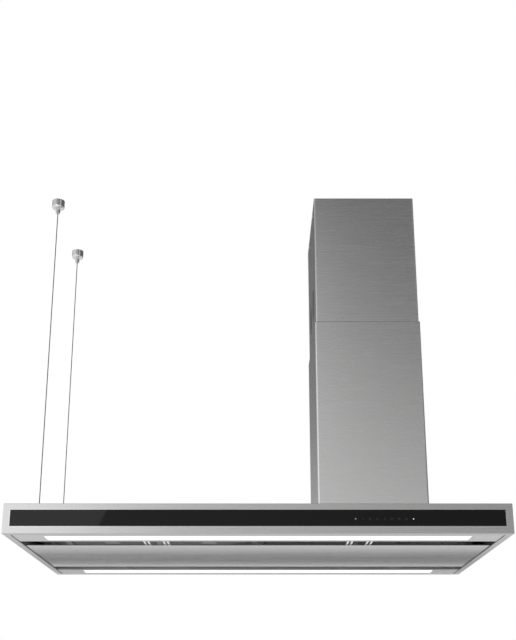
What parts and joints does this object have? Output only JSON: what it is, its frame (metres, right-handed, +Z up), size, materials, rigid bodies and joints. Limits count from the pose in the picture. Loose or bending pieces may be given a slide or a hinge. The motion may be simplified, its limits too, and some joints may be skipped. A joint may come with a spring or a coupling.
{
  "type": "island range hood",
  "caption": "Flat island range hood of brushed steel with an offset telescopic chimney, black glass control strip, light bars, hinged suction panel and suspension cables.",
  "frame": {"origin": "middle of the ceiling bracket, on the ceiling plane, on the chimney's axis", "axes": "+Z up into the ceiling, +X along the hood's long side to the right as seen from the front, +Y to the rear"},
  "size_m": [1.198, 0.7, 0.967],
  "materials": {
    "brushed_hood": "fine horizontal brushing",
    "brushed_chimney": "fine horizontal brushing",
    "satin_steel": "satin",
    "galvanised_sheet": "zinc-coated sheet with faint spangle",
    "black_glass": "back-printed black, polished",
    "opal_diffuser": "opal, lit from behind",
    "aluminium_sheet": "mill finish",
    "aluminium_mesh": "layered expanded mesh",
    "circuit_board": "solder mask",
    "dark_plastic": "moulded, fine grain",
    "motor_casting": "cast",
    "bright_fasteners": "bright zinc",
    "polished_fittings": "turned and polished",
    "wire_rope": "twisted steel wire"
  },
  "bodies": {
    "hood": {"front_rail": "brushed_hood", "rear_rail": "brushed_hood", "left_rail": "brushed_hood", "right_rail": "brushed_hood", "canopy_top": "brushed_hood", "upper_chimney_front": "brushed_chimney", "upper_chimney_rear": "brushed_chimney", "vent_grilles": "brushed_chimney", "led_housing_front": "satin_steel", "led_housing_rear": "satin_steel", "hinge_brackets": "satin_steel", "panel_catches": "satin_steel", "ceiling_bracket": "galvanised_sheet", "upper_posts": "galvanised_sheet", "lower_posts": "galvanised_sheet", "base_plate": "galvanised_sheet", "motor_box": "galvanised_sheet", "filter_deck": "galvanised_sheet", "filter_rails": "galvanised_sheet", "cable_beam": "galvanised_sheet", "motor_bracket": "galvanised_sheet", "front_glass": "black_glass", "rear_glass": "black_glass", "led_diffuser_front": "opal_diffuser", "led_diffuser_rear": "opal_diffuser", "led_carriers": "aluminium_sheet", "filter_frame_1": "aluminium_sheet", "filter_frame_2": "aluminium_sheet", "filter_frame_3": "aluminium_sheet", "filter_frame_4": "aluminium_sheet", "filter_meshes": "aluminium_mesh", "control_board": "circuit_board", "scroll_left": "dark_plastic", "scroll_right": "dark_plastic", "outlet_collar": "dark_plastic", "terminal_box": "dark_plastic", "led_driver": "dark_plastic", "motor": "motor_casting", "frame_bolts": "bright_fasteners", "chimney_screws": "bright_fasteners", "hinge_pins": "bright_fasteners", "flap_pins": "bright_fasteners", "cable_anchors": "polished_fittings", "ceiling_cup_front": "polished_fittings", "ceiling_cup_rear": "polished_fittings", "cable_front": "wire_rope", "cable_rear": "wire_rope"},
    "lower_chimney": {"lower_chimney_front": "brushed_chimney", "lower_chimney_rear": "brushed_chimney"},
    "panel": {"suction_panel": "brushed_hood", "panel_stiffener": "galvanised_sheet", "hinge_arms": "satin_steel"},
    "fan_rotor": {"impeller": "dark_plastic", "fan_shaft": "bright_fasteners"},
    "flap_left": {"flap_left": "dark_plastic"},
    "flap_right": {"flap_right": "dark_plastic"},
    "filter_latch_1": {"filter_latch_1": "satin_steel"},
    "filter_latch_2": {"filter_latch_2": "satin_steel"},
    "filter_latch_3": {"filter_latch_3": "satin_steel"},
    "filter_latch_4": {"filter_latch_4": "satin_steel"}
  },
  "joints": [
    {"name": "lower_chimney_lift", "type": "slide", "parent": "hood", "child": "lower_chimney", "axis": [0, 0, 1], "range_m": [0, 0.34]},
    {"name": "panel_swing", "type": "hinge", "parent": "hood", "child": "panel", "pos_m": [-0.292, 0.205, -0.949], "axis": [1, 0, 0], "range_deg": [0, 85]},
    {"name": "fan_spin", "type": "hinge", "parent": "hood", "child": "fan_rotor", "pos_m": [0, -0.063, -0.775], "axis": [1, 0, 0], "continuous": true},
    {"name": "flap_left_swing", "type": "hinge", "parent": "hood", "child": "flap_left", "pos_m": [-0.006, 0, -0.59], "axis": [0, 1, 0], "range_deg": [0, 75]},
    {"name": "flap_right_swing", "type": "hinge", "parent": "hood", "child": "flap_right", "pos_m": [0.006, 0, -0.59], "axis": [0, -1, 0], "range_deg": [0, 75]},
    {"name": "filter_latch_1_slide", "type": "slide", "parent": "hood", "child": "filter_latch_1", "axis": [0, 1, 0], "range_m": [0, 0.007], "stiffness_N_per_m": 300},
    {"name": "filter_latch_2_slide", "type": "slide", "parent": "hood", "child": "filter_latch_2", "axis": [0, 1, 0], "range_m": [0, 0.007], "stiffness_N_per_m": 300},
    {"name": "filter_latch_3_slide", "type": "slide", "parent": "hood", "child": "filter_latch_3", "axis": [0, 1, 0], "range_m": [0, 0.007], "stiffness_N_per_m": 300},
    {"name": "filter_latch_4_slide", "type": "slide", "parent": "hood", "child": "filter_latch_4", "axis": [0, 1, 0], "range_m": [0, 0.007], "stiffness_N_per_m": 300}
  ]
}
